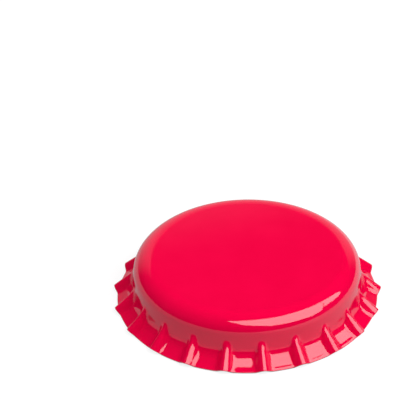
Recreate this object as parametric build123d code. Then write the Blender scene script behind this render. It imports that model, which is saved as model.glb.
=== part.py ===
from build123d import *
import os
from math import cos, pi, radians, sin, tan

# A 26 mm pry-off crown cap, standing on its fluted skirt with the closed panel up.
# Two pieces: the pressed tinplate shell and the sealing liner moulded inside it.
# The axis of the cap is Z and the skirt's lowest points touch Z = 0.

# Driving dimensions, in mm and degrees.
flute_count = 21
sheet = 0.235
bore_diameter = 26.75
cap_height = 6.0
corner_radius = 2.25
tip_diameter = 32.1
flare_angle = 47.0
flute_height = 0.74
trough_bend = 1.2
crest_bend = 1.3
flank_angle = 38.5
fold_radius = 0.35
shoulder_radius = 0.5
shoulder_dip = 8.0

# The liner, from its edge inwards: a thick ring that seals on the bottle's lip, a
# groove, a bead and a thin web over the rest of the panel. The groove, bead and
# web runs are the distances from one turn of its section to the next.
liner_edge_gap = 0.925
liner_ring_width = 1.9
liner_ring_depth = 0.8
liner_groove_run = 0.25
liner_groove_depth = 0.3
liner_bead_run = 0.45
liner_bead_depth = 0.62
liner_web_run = 0.35
liner_web_depth = 0.2

# Curves bent over a small radius are made of short straight steps.
outer_corner_steps = 5
inner_corner_steps = 4
bend_steps = 2

# How far a flute starts below the wall's surface, so that it grows out of it.
trough_lead = 0.17
crest_lead = 0.025
# How far the forms run past the rim before it is sheared.
overrun = 0.8

wall_radius = bore_diameter / 2 + sheet
flare_sin = sin(radians(flare_angle))
flare_cos = cos(radians(flare_angle))
half_pitch = pi / flute_count
# Outer edge of the rim at a flute's tip and in the middle of a trough, as (r, z).
# The rim is sheared square to the sheet, so its inner edge rests on Z = 0.
tip = (tip_diameter / 2, (sheet + flute_height) * flare_sin)
trough = (tip_diameter / 2 - flute_height * flare_cos, sheet * flare_sin)


def at(point):
    return Vector(point[0], 0, point[1])


def polygon_edges(points):
    return [Edge.make_line(at(a), at(b)) for a, b in zip(points, points[1:])]


def corner(inset, steps):
    """The rounded edge of the panel, from the panel out to the wall."""
    radius = corner_radius - inset
    centre_r = wall_radius - corner_radius
    centre_z = cap_height - corner_radius
    turns = [pi / 2 * i / steps for i in range(steps + 1)]
    return [(centre_r + radius * sin(t), centre_z + radius * cos(t)) for t in turns]


def skirt_line(inset, bend, end, lead):
    """Wall, bend and straight flare of one line of the skirt, as (r, z) points."""
    radius = bend + inset
    run = (end[0] - wall_radius - bend * (1 - flare_cos)) / flare_sin
    bend_z = end[1] + run * flare_cos + bend * flare_sin
    turns = [radians(flare_angle) * i / bend_steps for i in range(bend_steps + 1)]
    points = [
        (wall_radius - inset + radius * (1 - cos(t)), bend_z - radius * sin(t))
        for t in turns
    ]
    first_slope = tan(turns[1] / 2)
    points[0] = (points[0][0] - lead, points[0][1] + lead / first_slope)
    foot_r, foot_z = points[-1]
    length = run + overrun
    points.append((foot_r + length * flare_sin, foot_z - length * flare_cos))
    return points


def crown(inset, steps):
    """Solid of revolution under the panel, its rounded edge and the wall."""
    arc = corner(inset, steps)
    # The wall is hidden inside the skirt below the middle of its bends.
    low = trough[1] + (cap_height - trough[1]) / 3
    outline = [(0, cap_height - inset)] + arc
    outline += [(wall_radius - inset, low), (0, low), (0, cap_height - inset)]
    return Solid.revolve(Face(Wire(polygon_edges(outline))), 360, Axis.Z)


def troughs(inset):
    """The pressed flats between the flutes, as one many-sided flaring solid."""
    rings = []
    for r, z in skirt_line(inset, trough_bend, trough, trough_lead):
        corner_r = r / cos(half_pitch)
        ring = [
            Vector(corner_r * cos(2 * half_pitch * i), corner_r * sin(2 * half_pitch * i), z)
            for i in range(flute_count)
        ]
        rings.append(ring)
    faces = [Face(Wire.make_polygon(ring)) for ring in (rings[0], rings[-1])]
    for upper, lower in zip(rings, rings[1:]):
        for i in range(flute_count):
            j = (i + 1) % flute_count
            corners = [upper[i], upper[j], lower[j], lower[i]]
            faces.append(Face(Wire.make_polygon(corners)))
    return Solid(Shell(faces))


def outer_flute(sketch, root):
    """Section of a flute outside: round fold, flat flanks, soft shoulders."""
    flank = radians(flank_angle)
    dip = radians(shoulder_dip)
    middle = (flank + dip) / 2
    fold_x = fold_radius * sin(flank)
    fold_y = fold_radius * (cos(flank) - 1)
    top_y = -flute_height + shoulder_radius * (cos(dip) - cos(flank))
    top_x = fold_x + (fold_y - top_y) / tan(flank)
    end_x = top_x + shoulder_radius * (sin(flank) - sin(dip))
    half_x = top_x + shoulder_radius * (sin(flank) - sin(middle))
    half_y = top_y - shoulder_radius * (cos(middle) - cos(flank))
    right = [(fold_x, fold_y), (top_x, top_y), (half_x, half_y), (end_x, -flute_height)]
    left = [(-x, y) for x, y in right]
    arc = lambda a, b, c: Edge.make_three_point_arc(sketch(*a), sketch(*b), sketch(*c))
    line = lambda a, b: Edge.make_line(sketch(*a), sketch(*b))
    return [
        arc(left[0], (0, 0), right[0]),
        line(right[0], right[1]),
        arc(right[1], right[2], right[3]),
        line(right[3], (end_x, root)),
        line((end_x, root), (-end_x, root)),
        line((-end_x, root), left[3]),
        arc(left[3], left[2], left[1]),
        line(left[1], left[0]),
    ]


def inner_flute(sketch, root):
    """Section of a flute inside, where the fold is all but sharp."""
    flank = radians(flank_angle)
    fold_x = (fold_radius - sheet) * (1 / cos(flank) - 1) / tan(flank)
    root_x = fold_x - root / tan(flank)
    points = [(-fold_x, 0), (fold_x, 0), (root_x, root), (-root_x, root)]
    corners = [sketch(*p) for p in points]
    return [Edge.make_line(a, b) for a, b in zip(corners, corners[1:] + corners[:1])]


def flute(inset, section):
    """One flute, its section swept down the line of its fold."""
    line = [at(p) for p in skirt_line(inset, crest_bend, tip, crest_lead)]
    start = (line[1] - line[0]).normalized()
    outward = Vector(-start.Z, 0, start.X)
    plane = Plane(origin=line[0], x_dir=outward.cross(start), z_dir=start)
    side = 1 if plane.y_dir.dot(outward) > 0 else -1

    def sketch(x, y):
        return plane.from_local_coords(Vector(x, side * y, 0))

    root = -flute_height - sheet
    profile = Face(Wire(section(sketch, root)))
    path = Wire.make_polygon(line, close=False)
    return Solid.sweep(profile, path, transition=Transition.RIGHT)


def form(inset, steps, section):
    """The filled shape of the cap, its surface set in from the outer one."""
    one = flute(inset, section)
    turn = 360 / flute_count
    flutes = [one.rotate(Axis.Z, turn * i) for i in range(flute_count)]
    return crown(inset, steps).fuse(troughs(inset), *flutes)


def rim_shear():
    """Everything beyond the sheared rim, square to the flaring sheet."""
    reach = 4 * flute_height
    inner = (trough[0] - reach * flare_cos, trough[1] - reach * flare_sin)
    outer = (trough[0] + reach * flare_cos, trough[1] + reach * flare_sin)
    floor = inner[1] - overrun
    outline = [inner, outer, (outer[0], floor), (inner[0], floor), inner]
    return Solid.revolve(Face(Wire(polygon_edges(outline))), 360, Axis.Z)


def make_shell():
    punched = form(sheet, inner_corner_steps, inner_flute)
    shell = form(0, outer_corner_steps, outer_flute) - punched
    return shell - rim_shear()


def make_liner():
    """The liner fills the inside of the panel and closes on its corner."""
    panel_z = cap_height - sheet
    edge_r = bore_diameter / 2 - liner_edge_gap
    arc = corner(sheet, inner_corner_steps)
    # Where the liner's edge meets the corner, on the step that it ends under.
    near, far = [(a, b) for a, b in zip(arc, arc[1:]) if a[0] < edge_r][-1]
    share = (edge_r - near[0]) / (far[0] - near[0])
    ring_r = edge_r - liner_ring_width
    groove_r = ring_r - liner_groove_run
    bead_r = groove_r - liner_bead_run
    web_r = bead_r - liner_web_run
    outline = [
        (0, panel_z),
        arc[0],
        (edge_r, near[1] + share * (far[1] - near[1])),
        (edge_r, panel_z - liner_ring_depth),
        (ring_r, panel_z - liner_ring_depth),
        (groove_r, panel_z - liner_groove_depth),
        (bead_r, panel_z - liner_bead_depth),
        (web_r, panel_z - liner_web_depth),
        (0, panel_z - liner_web_depth),
        (0, panel_z),
    ]
    return Solid.revolve(Face(Wire(polygon_edges(outline))), 360, Axis.Z)


os.makedirs("parts", exist_ok=True)
export_step(make_shell(), "parts/crown_shell.step")
export_step(make_liner(), "parts/sealing_liner.step")
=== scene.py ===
from math import cos, pi, radians, sin, sqrt, tan

import bpy
import numpy as np
from mathutils import Euler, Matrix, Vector


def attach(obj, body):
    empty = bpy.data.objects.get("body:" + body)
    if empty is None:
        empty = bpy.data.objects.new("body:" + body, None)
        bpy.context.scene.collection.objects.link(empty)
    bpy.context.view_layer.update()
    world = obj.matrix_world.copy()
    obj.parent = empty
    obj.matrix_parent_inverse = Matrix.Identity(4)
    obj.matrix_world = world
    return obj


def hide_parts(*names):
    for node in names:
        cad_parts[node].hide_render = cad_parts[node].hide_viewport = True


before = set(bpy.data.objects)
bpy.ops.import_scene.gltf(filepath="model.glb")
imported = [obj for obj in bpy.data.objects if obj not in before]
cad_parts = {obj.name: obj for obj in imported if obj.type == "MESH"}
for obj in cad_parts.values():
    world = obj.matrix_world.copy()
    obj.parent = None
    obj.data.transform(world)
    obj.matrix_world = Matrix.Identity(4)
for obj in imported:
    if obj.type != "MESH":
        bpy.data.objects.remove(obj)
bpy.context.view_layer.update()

MM = 0.001

# Sizes of the cap, in millimetres, as in the CAD model.
FLUTES = 21
SHEET = 0.235
CAP_HEIGHT = 6.0
CORNER_R = 2.25
TIP_R = 16.05
TROUGH_R = 15.545
TROUGH_Z = 0.172
HALF_PITCH = pi / FLUTES
PANEL_Z = CAP_HEIGHT - SHEET
CORNER_Z = CAP_HEIGHT - CORNER_R

# Where the dressed mesh departs from it: the wall's slight taper, the rim's curl,
# softer bends, steeper flanks, and tips 0.013 lower. Lengths are in millimetres,
# angles in degrees from the vertical.
TIP_Z = 0.70
TAPER = 5.5
CORNER_X = 11.316
CURL_LENGTH, CURL_ANGLE = 0.26, 54.6
LIP_RISE, LIP_FALL, LIP_ANGLE = 0.10, 0.22, 60.0
FACET_LOW, FACET_HIGH = 54.5, 49.0
TROUGH_BEND = 2.1
CREST_ANGLE, CREST_TURN = 47.5, 26.0
CREST_BEND, NUB_BEND = 3.3, 0.3
FLANK_SLOPE = 1.88
# The fold's radius at the top of a flute, below it and at its tip, and the
# shares of the skirt's length at which these lie.
FOLD_R = 0.55, 0.32, 0.44
FOLD_AT = 0.3, 0.48, 0.9
SHOULDER_SOFT = 0.18
TROUGH_DISH = 0.02

# The liner's underside from its edge to the middle, as radius, depth below the
# panel and how far each corner is rounded: sealing ring, groove, bead and web.
# Its top keeps just clear of the panel.
LINER_LINE = (
    (12.38, 0.34, 0),
    (12.40, 0.79, 0.26),
    (10.56, 0.79, 0.24),
    (10.29, 0.32, 0.12),
    (9.84, 0.61, 0.16),
    (9.51, 0.20, 0.16),
    (0.60, 0.20, 0),
)
LINER_CLEARANCE = 0.005

# How finely the meshes are divided: radii of the flat rows, and counts.
PANEL_ROWS = 0.6, 3.0, 6.0, 9.0, 11.0
LINER_TOP_ROWS = 0.6, 6.0, 11.0
LINER_COLUMNS = 240
BEND_STEPS = 24
OUTER_CORNER_ROWS = 19
INNER_CORNER_ROWS = 15
ROUNDING_STEPS = 8
# The search for the skirt's free length: its upper limit, and how many times the
# range is halved.
LONGEST_FACET = 4.0
HALVINGS = 40

# Material indices of the shell.
OUTSIDE, EDGE, INSIDE = 0, 1, 2


def climb(start, bends):
    """A line up from start, through bends of (length, first and last angle)."""
    r, z = [start[0]], [start[1]]
    middles = np.arange(BEND_STEPS) + 0.5
    for length, first, last in bends:
        turn = np.radians(first + (last - first) * middles / BEND_STEPS)
        r.extend(r[-1] - np.cumsum(length / BEND_STEPS * np.sin(turn)))
        z.extend(z[-1] + np.cumsum(length / BEND_STEPS * np.cos(turn)))
    return np.array(r), np.array(z)


def wall_top():
    """Radius and height at which the corner's curve meets the tapered wall."""
    t = radians(TAPER)
    return CORNER_X + CORNER_R * cos(t), CORNER_Z + CORNER_R * sin(t)


def wall_radius(z):
    """Radius of the tapered wall at a height."""
    top_r, top_z = wall_top()
    return top_r + (top_z - z) * tan(radians(TAPER))


def skirt_line(start, bends_for):
    """From the rim up to the corner, with the one free length that makes the
    bend end on the wall. Points run from the top down."""
    low, high = 0.0, LONGEST_FACET
    for _ in range(HALVINGS):
        length = (low + high) / 2
        r, z = climb(start, bends_for(length))
        if r[-1] > wall_radius(z[-1]):
            low = length
        else:
            high = length
    top_r, top_z = wall_top()
    return np.append(r, top_r)[::-1], np.append(z, top_z)[::-1]


def trough_bends(length):
    """Curl, lip, facet and bend of the line down the middle of a trough."""
    return (
        (CURL_LENGTH, CURL_ANGLE, CURL_ANGLE),
        (LIP_RISE, CURL_ANGLE, LIP_ANGLE),
        (LIP_FALL, LIP_ANGLE, FACET_LOW),
        (length, FACET_LOW, FACET_HIGH),
        (TROUGH_BEND * radians(FACET_HIGH - TAPER), FACET_HIGH, TAPER),
    )


def crest_bends(length):
    """The line down the fold of a flute, which leaves the wall in a tight nub."""
    return (
        (length, CREST_ANGLE, CREST_ANGLE),
        (CREST_BEND * radians(CREST_ANGLE - CREST_TURN), CREST_ANGLE, CREST_TURN),
        (NUB_BEND * radians(CREST_TURN - TAPER), CREST_TURN, TAPER),
    )


TROUGH_LINE = skirt_line((TROUGH_R, TROUGH_Z), trough_bends)
CREST_LINE = skirt_line((TIP_R, TIP_Z), crest_bends)


def at_share(line, share):
    """Points at shares of a line's length."""
    r, z = line
    run = np.concatenate([[0], np.cumsum(np.hypot(np.diff(r), np.diff(z)))])
    return np.interp(share, run / run[-1], r), np.interp(share, run / run[-1], z)


def skirt_point(share, phi):
    """Outer surface of the skirt, phi from the middle of a flute, in mm."""
    cr, cz = at_share(CREST_LINE, share)
    vr, vz = at_share(TROUGH_LINE, share)
    full = sqrt((TIP_R - TROUGH_R) ** 2 + (TIP_Z - TROUGH_Z) ** 2)
    height = np.hypot(cr - vr, cz - vz)
    dish = TROUGH_DISH * np.minimum(1, height / full)
    peak = height - dish
    a = FLANK_SLOPE * np.interp(share, FOLD_AT, FOLD_R)

    def soft(t):
        return 0.5 * (t + np.sqrt(t * t + SHOULDER_SOFT**2))

    def tent(x):
        return soft(peak - FLANK_SLOPE * (np.sqrt(x * x + a * a) - a))

    low = tent(vr * HALF_PITCH)
    top = tent(0 * vr)
    lift = (tent(vr * np.abs(phi)) - low) / np.maximum(top - low, 1e-9) * peak
    lift = lift + dish * np.cos(0.5 * pi * phi / HALF_PITCH) ** 2
    w = lift / np.maximum(height, 1e-9)
    return vr + w * (cr - vr), vz + w * (cz - vz)


def skirt_shares():
    """Shares of the skirt's length for the mesh rows, closest at the bends."""
    return np.concatenate(
        [
            np.linspace(0, 0.1, 4)[:-1],
            np.linspace(0.1, 0.4, 25)[:-1],
            np.linspace(0.4, 1, 33),
        ]
    )


def flute_angles():
    """Angles across one flute, closest over its fold and shoulders."""
    u = np.array([0.05, 0.1, 0.16, 0.23, 0.31, 0.38, 0.45, 0.52, 0.6, 0.7, 0.84])
    return np.concatenate([[-1], -u[::-1], [0], u]) * HALF_PITCH


def skirt_grids():
    """Outer and inner skirt of one flute, rows down and columns across."""
    shares = skirt_shares()
    phis = flute_angles()
    step = 1e-4

    def grid(share_step, phi_step):
        s = np.clip(shares + share_step, 0, 1)
        columns = [skirt_point(s, phi + phi_step) for phi in phis]
        r = np.array([column[0] for column in columns]).T
        z = np.array([column[1] for column in columns]).T
        a = phis[None, :] + phi_step
        return np.stack([r * np.cos(a), r * np.sin(a), z], -1)

    outer = grid(0, 0)
    along = grid(step, 0) - grid(-step, 0)
    across = grid(0, step) - grid(0, -step)
    normal = np.cross(across, along)
    normal /= np.linalg.norm(normal, axis=-1, keepdims=True)
    if (normal[0, 0] @ outer[0, 0]) < 0:
        normal = -normal
    inner = outer - SHEET * normal
    inner[..., 2] = np.maximum(inner[..., 2], 0)  # it stands on its rim
    return outer, inner


def turned(points, angle):
    """Points turned about the cap's axis."""
    c, s = cos(angle), sin(angle)
    x, y = points[..., 0], points[..., 1]
    return np.stack([c * x - s * y, s * x + c * y, points[..., 2]], -1)


def all_round(grid):
    """The one-flute grid repeated round the cap."""
    return np.concatenate(
        [turned(grid, 2 * HALF_PITCH * i) for i in range(FLUTES)], axis=1
    )


def column_angles():
    """Angles of all the columns round the cap."""
    phis = flute_angles()
    return np.concatenate([phis + 2 * HALF_PITCH * i for i in range(FLUTES)])


def ring(r, z, angles):
    """One row of points at a radius and height."""
    return np.stack([r * np.cos(angles), r * np.sin(angles), 0 * angles + z], -1)


def make_mesh(name, rows, regions, caps):
    """A closed round mesh: rows of points, each joined to the next, with a
    material index for each band, and a fan at each row named in caps."""
    count = len(rows[0])
    faces, mats = [], []
    for k in range(len(rows) - 1):
        for i in range(count):
            j = (i + 1) % count
            a, b = k * count, (k + 1) * count
            faces.append((a + i, b + i, b + j, a + j))
            mats.append(regions[k])
    verts = list(map(tuple, np.concatenate(rows) * MM))
    for row, centre_z, mat, up in caps:
        c = len(verts)
        verts.append((0, 0, centre_z * MM))
        base = row * count
        for i in range(count):
            j = (i + 1) % count
            faces.append((base + i, base + j, c) if up else (base + j, base + i, c))
            mats.append(mat)
    mesh = bpy.data.meshes.new(name)
    mesh.from_pydata(verts, [], faces)
    mesh.polygons.foreach_set("material_index", mats)
    mesh.polygons.foreach_set("use_smooth", [True] * len(faces))
    mesh.update()
    return placed(name, mesh)


def placed(name, data):
    """A new object in the scene for a mesh or a camera."""
    obj = bpy.data.objects.new(name, data)
    bpy.context.scene.collection.objects.link(obj)
    return obj


def make_shell():
    """The pressed shell as one closed sheet, out over it and back inside."""
    outer, inner = (all_round(grid) for grid in skirt_grids())
    angles = column_angles()
    corner_turn = pi / 2 - radians(TAPER)
    rows, regions = [], []

    def add(points, region):
        rows.append(points)
        regions.append(region)

    def add_corner(radius, turns, region):
        for t in turns:
            r, z = CORNER_X + radius * sin(t), CORNER_Z + radius * cos(t)
            add(ring(r, z, angles), region)

    for r in PANEL_ROWS:
        add(ring(r, CAP_HEIGHT, angles), OUTSIDE)
    outer_turns = np.linspace(0, corner_turn, OUTER_CORNER_ROWS)[:-1]
    add_corner(CORNER_R, outer_turns, OUTSIDE)
    for row in outer:
        add(row, OUTSIDE)
    # The sheared rim, in two bands with a row down its middle.
    regions[-1] = EDGE
    add(outer[-1] + (inner[-1] - outer[-1]) * 0.5, EDGE)
    for row in inner[::-1]:
        add(row, INSIDE)
    inner_turns = np.linspace(corner_turn, 0, INNER_CORNER_ROWS)[1:]
    add_corner(CORNER_R - SHEET, inner_turns, INSIDE)
    for r in PANEL_ROWS[::-1]:
        add(ring(r, PANEL_Z, angles), INSIDE)
    caps = [
        (0, CAP_HEIGHT, OUTSIDE, True),
        (len(rows) - 1, PANEL_Z, INSIDE, False),
    ]
    return make_mesh("crown_shell_dressed", rows, regions, caps)


def rounded(corners):
    """The line through corners, each turned to a curve of its own reach."""
    line = []
    for k, (r, depth, reach) in enumerate(corners):
        here = np.array([r, depth])
        if reach == 0:
            line.append(here)
            continue
        before = np.array(corners[k - 1][:2]) - here
        after = np.array(corners[k + 1][:2]) - here
        a = here + before / np.linalg.norm(before) * reach
        b = here + after / np.linalg.norm(after) * reach
        for t in np.linspace(0, 1, ROUNDING_STEPS):
            line.append((1 - t) ** 2 * a + 2 * t * (1 - t) * here + t * t * b)
    return line


def make_liner():
    """The sealing liner: a smooth closed disc under the panel."""
    angles = np.linspace(0, 2 * pi, LINER_COLUMNS, endpoint=False)
    top_z = PANEL_Z - LINER_CLEARANCE
    rows = [ring(r, top_z, angles) for r in LINER_TOP_ROWS]
    rows += [ring(r, PANEL_Z - depth, angles) for r, depth in rounded(LINER_LINE)]
    caps = [(0, top_z, 0, True), (len(rows) - 1, rows[-1][0, 2], 0, False)]
    return make_mesh("sealing_liner_dressed", rows, [0] * len(rows), caps)


def new_nodes(owner):
    """The emptied node tree of a new material or world."""
    owner.use_nodes = True
    owner.node_tree.nodes.clear()
    return owner.node_tree


def new_material(name):
    """A material with its tree and its shader, joined to the output."""
    mat = bpy.data.materials.new(name)
    tree = new_nodes(mat)
    out = tree.nodes.new("ShaderNodeOutputMaterial")
    shader = tree.nodes.new("ShaderNodeBsdfPrincipled")
    tree.links.new(shader.outputs["BSDF"], out.inputs["Surface"])
    return mat, tree, shader


def noise(tree, scale, detail):
    """Cloudy values from 0 to 1, fixed to the piece."""
    coord = tree.nodes.new("ShaderNodeTexCoord")
    node = tree.nodes.new("ShaderNodeTexNoise")
    node.inputs["Scale"].default_value = scale
    node.inputs["Detail"].default_value = detail
    tree.links.new(coord.outputs["Object"], node.inputs["Vector"])
    return node.outputs["Fac"]


def spread(tree, source, low, high):
    """Values from 0 to 1 spread from low to high."""
    node = tree.nodes.new("ShaderNodeMapRange")
    node.inputs["To Min"].default_value = low
    node.inputs["To Max"].default_value = high
    tree.links.new(source, node.inputs["Value"])
    return node.outputs["Result"]


def ramp(tree, source, start, end, low, high):
    """A smooth step from low at start to high at end."""
    node = tree.nodes.new("ShaderNodeMapRange")
    node.interpolation_type = "SMOOTHSTEP"
    for key, value in zip(
        ("From Min", "From Max", "To Min", "To Max"), (start, end, low, high)
    ):
        node.inputs[key].default_value = value
    tree.links.new(source, node.inputs["Value"])
    return node.outputs["Result"]


def combine(tree, operation, first, second, clamp=False):
    """One sum or product of two sockets or numbers."""
    node = tree.nodes.new("ShaderNodeMath")
    node.operation = operation
    node.use_clamp = clamp
    for socket, value in zip(node.inputs, (first, second)):
        if isinstance(value, float):
            socket.default_value = value
        else:
            tree.links.new(value, socket)
    return node.outputs[0]


def vector_math(tree, operation, source, output, second=None):
    """One vector sum, product or length."""
    node = tree.nodes.new("ShaderNodeVectorMath")
    node.operation = operation
    tree.links.new(source, node.inputs[0])
    if second is not None:
        node.inputs[1].default_value = second
    return node.outputs[output]


def axes_of(tree, source):
    """The X, Y and Z of a vector."""
    node = tree.nodes.new("ShaderNodeSeparateXYZ")
    tree.links.new(source, node.inputs[0])
    return node.outputs


def tinted(tree, shader, factor, first, second):
    """Base colour from first to second, as factor goes from 0 to 1."""
    node = tree.nodes.new("ShaderNodeMix")
    node.data_type = "RGBA"
    node.inputs["A"].default_value = (*first, 1)
    node.inputs["B"].default_value = (*second, 1)
    tree.links.new(factor, node.inputs["Factor"])
    tree.links.new(node.outputs["Result"], shader.inputs["Base Color"])


def roughened(tree, shader, source, low, high):
    """Roughness that follows source from low to high."""
    tree.links.new(spread(tree, source, low, high), shader.inputs["Roughness"])


def bump(tree, shader, source, strength, distance):
    """Fine relief, no deeper than distance."""
    node = tree.nodes.new("ShaderNodeBump")
    node.inputs["Strength"].default_value = strength
    node.inputs["Distance"].default_value = distance
    tree.links.new(source, node.inputs["Height"])
    tree.links.new(node.outputs["Normal"], shader.inputs["Normal"])


def lacquer():
    """Glossy red lacquer with a slight smear and orange peel."""
    mat, tree, s = new_material("red_lacquer")
    s.inputs["IOR"].default_value = 1.6
    smear = noise(tree, 260.0, 4.0)
    tinted(tree, s, smear, (0.68, 0.0, 0.040), (0.76, 0.0, 0.050))
    roughened(tree, s, smear, 0.035, 0.065)
    bump(tree, s, noise(tree, 2400.0, 2.0), 0.07, 0.00001)
    return mat


def cut_edge():
    """Bare steel where the rim was sheared."""
    mat, tree, s = new_material("sheared_steel_edge")
    s.inputs["Base Color"].default_value = (0.52, 0.48, 0.49, 1)
    s.inputs["Metallic"].default_value = 1.0
    roughened(tree, s, noise(tree, 5000.0, 2.0), 0.3, 0.5)
    return mat


def tinplate():
    """Bare tinplate, unevenly dull."""
    mat, tree, s = new_material("bare_tinplate")
    s.inputs["Metallic"].default_value = 1.0
    stain = noise(tree, 340.0, 4.0)
    tinted(tree, s, stain, (0.52, 0.49, 0.47), (0.72, 0.69, 0.67))
    grain = noise(tree, 2600.0, 4.0)
    roughened(tree, s, grain, 0.26, 0.4)
    bump(tree, s, grain, 0.08, 0.00002)
    return mat


# Distances from the axis, in metres, over which the compound turns from the
# thin web to its full thickness.
COMPOUND_EDGE = 0.0094, 0.0099


def compound():
    """Milky sealing compound: white where it is thick, and greyer over the
    tinplate in the thin middle."""
    mat, tree, s = new_material("milky_compound")
    s.inputs["Subsurface Weight"].default_value = 0.15
    s.inputs["Subsurface Radius"].default_value = (0.001, 0.001, 0.0012)
    coord = tree.nodes.new("ShaderNodeTexCoord")
    place = coord.outputs["Object"]
    flat = vector_math(tree, "MULTIPLY", place, "Vector", (1, 1, 0))
    reach = vector_math(tree, "LENGTH", flat, "Value")
    thick = ramp(tree, reach, *COMPOUND_EDGE, 0.0, 1.0)
    uneven = spread(tree, noise(tree, 420.0, 3.0), -0.12, 0.12)
    depth = combine(tree, "ADD", thick, uneven, clamp=True)
    tinted(tree, s, depth, (0.50, 0.55, 0.575), (0.78, 0.82, 0.87))
    grain = noise(tree, 700.0, 3.0)
    roughened(tree, s, grain, 0.3, 0.45)
    bump(tree, s, grain, 0.05, 0.00003)
    return mat


# The camera, fitted to the photo's outline: angles in degrees, distance in
# metres, focal length in pixels of the square picture, shift in its widths.
AZIMUTH = -2.464
ELEVATION = 34.956
ROLL = -0.663
DISTANCE = 0.37881
TARGET = Vector((0, 0, 0.003))
FOCAL_PIXELS = 3176.2
PICTURE_PIXELS = 400
CAMERA_SHIFT = -0.1176, 0.1899
SENSOR_WIDTH = 36.0


def make_camera():
    """The photo's view, as the scene's own camera."""
    data = bpy.data.cameras.new("camera")
    camera = placed("camera", data)
    a, e = radians(AZIMUTH), radians(ELEVATION)
    back = Vector((sin(a) * cos(e), -cos(a) * cos(e), sin(e)))
    camera.location = TARGET + back * DISTANCE
    aim = (-back).to_track_quat("-Z", "Y")
    camera.rotation_mode = "QUATERNION"
    camera.rotation_quaternion = aim @ Euler((0, 0, radians(ROLL))).to_quaternion()
    data.sensor_width = SENSOR_WIDTH
    data.lens = FOCAL_PIXELS * SENSOR_WIDTH / PICTURE_PIXELS
    data.shift_x, data.shift_y = CAMERA_SHIFT
    data.clip_start = 0.01
    data.clip_end = 10
    bpy.context.scene.camera = camera


# The table, with its lengths in metres. First its glow and its shade where it is
# looked at, and what it gives back.
FLOOR_REACH = 3.0
FLOOR_GLOW = 0.78
FLOOR_SHADE = 0.22
FLOOR_BOUNCE = 0.10
# Its level in reflections, to the left and to the right, and where along X it
# turns from the one to the other.
FLOOR_MIRRORED = 0.57, 0.92
FLOOR_MIRRORED_AT = 0.006, 0.026
# The light through it from below: level, radius, and how many such radii out it
# has faded away.
UNDER_GLOW = 0.9
UNDER_RADIUS = 0.0140
UNDER_FADE = 1.08


def emission(tree, strength):
    """A glow of a fixed or a varying strength."""
    node = tree.nodes.new("ShaderNodeEmission")
    if isinstance(strength, float):
        node.inputs["Strength"].default_value = strength
    else:
        tree.links.new(strength, node.inputs["Strength"])
    return node.outputs["Emission"]


def added(tree, first, second):
    """The sum of two shaders."""
    node = tree.nodes.new("ShaderNodeAddShader")
    tree.links.new(first, node.inputs[0])
    tree.links.new(second, node.inputs[1])
    return node.outputs["Shader"]


def mixed(tree, factor, first, second):
    """The first shader at factor 0 and the second at 1."""
    node = tree.nodes.new("ShaderNodeMixShader")
    tree.links.new(factor, node.inputs["Fac"])
    tree.links.new(first, node.inputs[1])
    tree.links.new(second, node.inputs[2])
    return node.outputs["Shader"]


def ray_kinds(tree):
    """1 on camera rays, and 1 on rays that a surface mirrors or lets through."""
    path = tree.nodes.new("ShaderNodeLightPath").outputs
    mirrored = combine(
        tree, "ADD", path["Is Glossy Ray"], path["Is Transmission Ray"], clamp=True
    )
    return path["Is Camera Ray"], mirrored


def make_floor():
    """A wide white table. Where it is looked at it is nearly all glow, so it is
    white and keeps only a faint shadow. It is lit through from below under the
    cap, so that the hollow isn't dark, and seen from below it is clear."""
    mesh = bpy.data.meshes.new("floor")
    h = FLOOR_REACH
    mesh.from_pydata(
        [(-h, -h, 0), (h, -h, 0), (h, h, 0), (-h, h, 0)], [], [(0, 1, 2, 3)]
    )
    obj = placed("floor", mesh)
    mat, tree, s = new_material("white_table")
    s.inputs["Base Color"].default_value = (FLOOR_BOUNCE, FLOOR_BOUNCE, FLOOR_BOUNCE, 1)
    s.inputs["Roughness"].default_value = 0.9
    s.inputs["Specular IOR Level"].default_value = 0.0
    camera_ray, mirrored = ray_kinds(tree)
    place = tree.nodes.new("ShaderNodeTexCoord").outputs["Object"]

    reach = vector_math(tree, "LENGTH", place, "Value")
    under = ramp(
        tree, reach, UNDER_RADIUS, UNDER_RADIUS * UNDER_FADE, UNDER_GLOW, 0.0
    )
    bounce = added(tree, s.outputs["BSDF"], emission(tree, under))

    shade = tree.nodes.new("ShaderNodeBsdfDiffuse")
    shade.inputs["Color"].default_value = (FLOOR_SHADE, FLOOR_SHADE, FLOOR_SHADE, 1)
    white = added(tree, shade.outputs["BSDF"], emission(tree, FLOOR_GLOW))

    level = ramp(tree, axes_of(tree, place)["X"], *FLOOR_MIRRORED_AT, *FLOOR_MIRRORED)
    level = combine(tree, "MAXIMUM", level, under)

    looked = mixed(tree, camera_ray, bounce, white)
    looked = mixed(tree, mirrored, looked, emission(tree, level))
    side = tree.nodes.new("ShaderNodeNewGeometry")
    clear = tree.nodes.new("ShaderNodeBsdfTransparent")
    both = mixed(tree, side.outputs["Backfacing"], looked, clear.outputs["BSDF"])
    out = next(n for n in tree.nodes if n.type == "OUTPUT_MATERIAL")
    tree.links.new(both, out.inputs["Surface"])
    obj.data.materials.append(mat)


# One big soft light stands at the front right, higher than the camera: a main
# panel and a smaller one beside it, in one plane. Angles are in degrees, the
# distance is in metres, and the corners are shares of that distance.
LIGHT_AZIMUTH = -45.0 + AZIMUTH
LIGHT_ELEVATION = 48.0
LIGHT_DISTANCE = 0.6
LIGHT_LEVEL = 4.3
LIGHT_PANELS = {
    "main": (
        (-0.66, 0.63), (-0.67, 0.10), (-0.35, -0.33), (0.40, -0.60),
        (0.63, -0.50), (0.68, 0.31), (0.05, 0.42), (-0.20, 0.52),
    ),
    "side": ((0.67, -0.27), (1.36, -0.22), (1.36, 0.06), (0.98, 0.27), (0.68, 0.31)),
}


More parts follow.
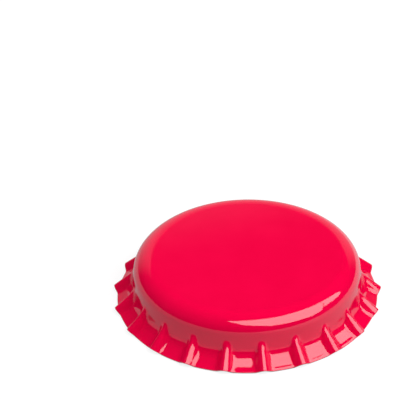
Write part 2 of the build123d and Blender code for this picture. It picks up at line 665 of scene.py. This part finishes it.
def make_lights():
    """The soft light's two panels, which face the cap. The camera doesn't see
    them, but the lacquer mirrors them."""
    a, e = radians(LIGHT_AZIMUTH), radians(LIGHT_ELEVATION)
    toward = Vector((cos(e) * cos(a), cos(e) * sin(a), sin(e)))
    right = Vector((-sin(a), cos(a), 0))
    up = toward.cross(right)
    mat = bpy.data.materials.new("softbox_cloth")
    tree = new_nodes(mat)
    out = tree.nodes.new("ShaderNodeOutputMaterial")
    tree.links.new(emission(tree, LIGHT_LEVEL), out.inputs["Surface"])
    for name, corners in LIGHT_PANELS.items():
        mesh = bpy.data.meshes.new("softbox_" + name)
        points = [(toward + right * x + up * y) * LIGHT_DISTANCE for x, y in corners]
        mesh.from_pydata(points, [], [tuple(range(len(points)))])
        obj = placed("softbox_" + name, mesh)
        obj.data.materials.append(mat)
        obj.visible_camera = False


# Soft fill from the upper left and from behind, as direction and level, and a
# little from all round. It only shades, and isn't mirrored. A fill fades in over
# FILL_EDGE, as the cosine of the angle from its direction.
FILLS = (((-0.80, 0.0, 0.60), 0.95), ((0.0, 0.80, 0.60), 0.75))
FILL_EDGE = 0.55, 0.9
FILL_REST = 0.02
# The card behind the table, which the lacquer mirrors. Looking along a ray of
# length 1, it ends over CARD_EDGE in Z, tilted by CARD_TILT for each unit of X,
# and fades in over CARD_SIDES in Y.
CARD_LEVEL = 0.58
CARD_EDGE = 0.549, 0.568
CARD_TILT = 0.17
CARD_SIDES = 0.65, 1.0
# What it mirrors everywhere else.
STUDIO_LEVEL = 0.01


def make_world():
    """A dim studio: white to the camera, with a pale card behind the table."""
    world = bpy.data.worlds.new("world")
    bpy.context.scene.world = world
    tree = new_nodes(world)
    out = tree.nodes.new("ShaderNodeOutputWorld")
    sky = tree.nodes.new("ShaderNodeBackground")
    camera_ray, mirrored = ray_kinds(tree)
    ray = tree.nodes.new("ShaderNodeTexCoord").outputs["Generated"]
    axes = axes_of(tree, ray)

    tilt = combine(tree, "MULTIPLY", axes["X"], CARD_TILT)
    rise = combine(tree, "ADD", axes["Z"], tilt)
    height = ramp(tree, rise, *CARD_EDGE, CARD_LEVEL, 0.0)
    behind = ramp(tree, axes["Y"], *CARD_SIDES, 0.0, 1.0)
    card = combine(tree, "MULTIPLY", height, behind)
    card = combine(tree, "ADD", card, STUDIO_LEVEL)

    fill = FILL_REST
    for toward, level in FILLS:
        facing = vector_math(tree, "DOT_PRODUCT", ray, "Value", toward)
        fill = combine(tree, "ADD", ramp(tree, facing, *FILL_EDGE, 0.0, level), fill)

    seen = combine(tree, "ADD", camera_ray, mirrored, clamp=True)
    unseen = combine(tree, "SUBTRACT", 1.0, seen)
    light = combine(
        tree,
        "ADD",
        combine(tree, "MULTIPLY", card, mirrored),
        combine(tree, "MULTIPLY", fill, unseen),
    )
    sky.inputs["Color"].default_value = (1, 1, 1, 1)
    tree.links.new(combine(tree, "MAXIMUM", light, camera_ray), sky.inputs["Strength"])
    tree.links.new(sky.outputs["Background"], out.inputs["Surface"])


shell = make_shell()
for material in (lacquer(), cut_edge(), tinplate()):
    shell.data.materials.append(material)
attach(shell, "root")
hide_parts("crown_shell")

liner = make_liner()
liner.data.materials.append(compound())
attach(liner, "root")
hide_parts("sealing_liner")

make_camera()
make_floor()
make_lights()
make_world()
bpy.context.scene.view_settings.view_transform = "Standard"
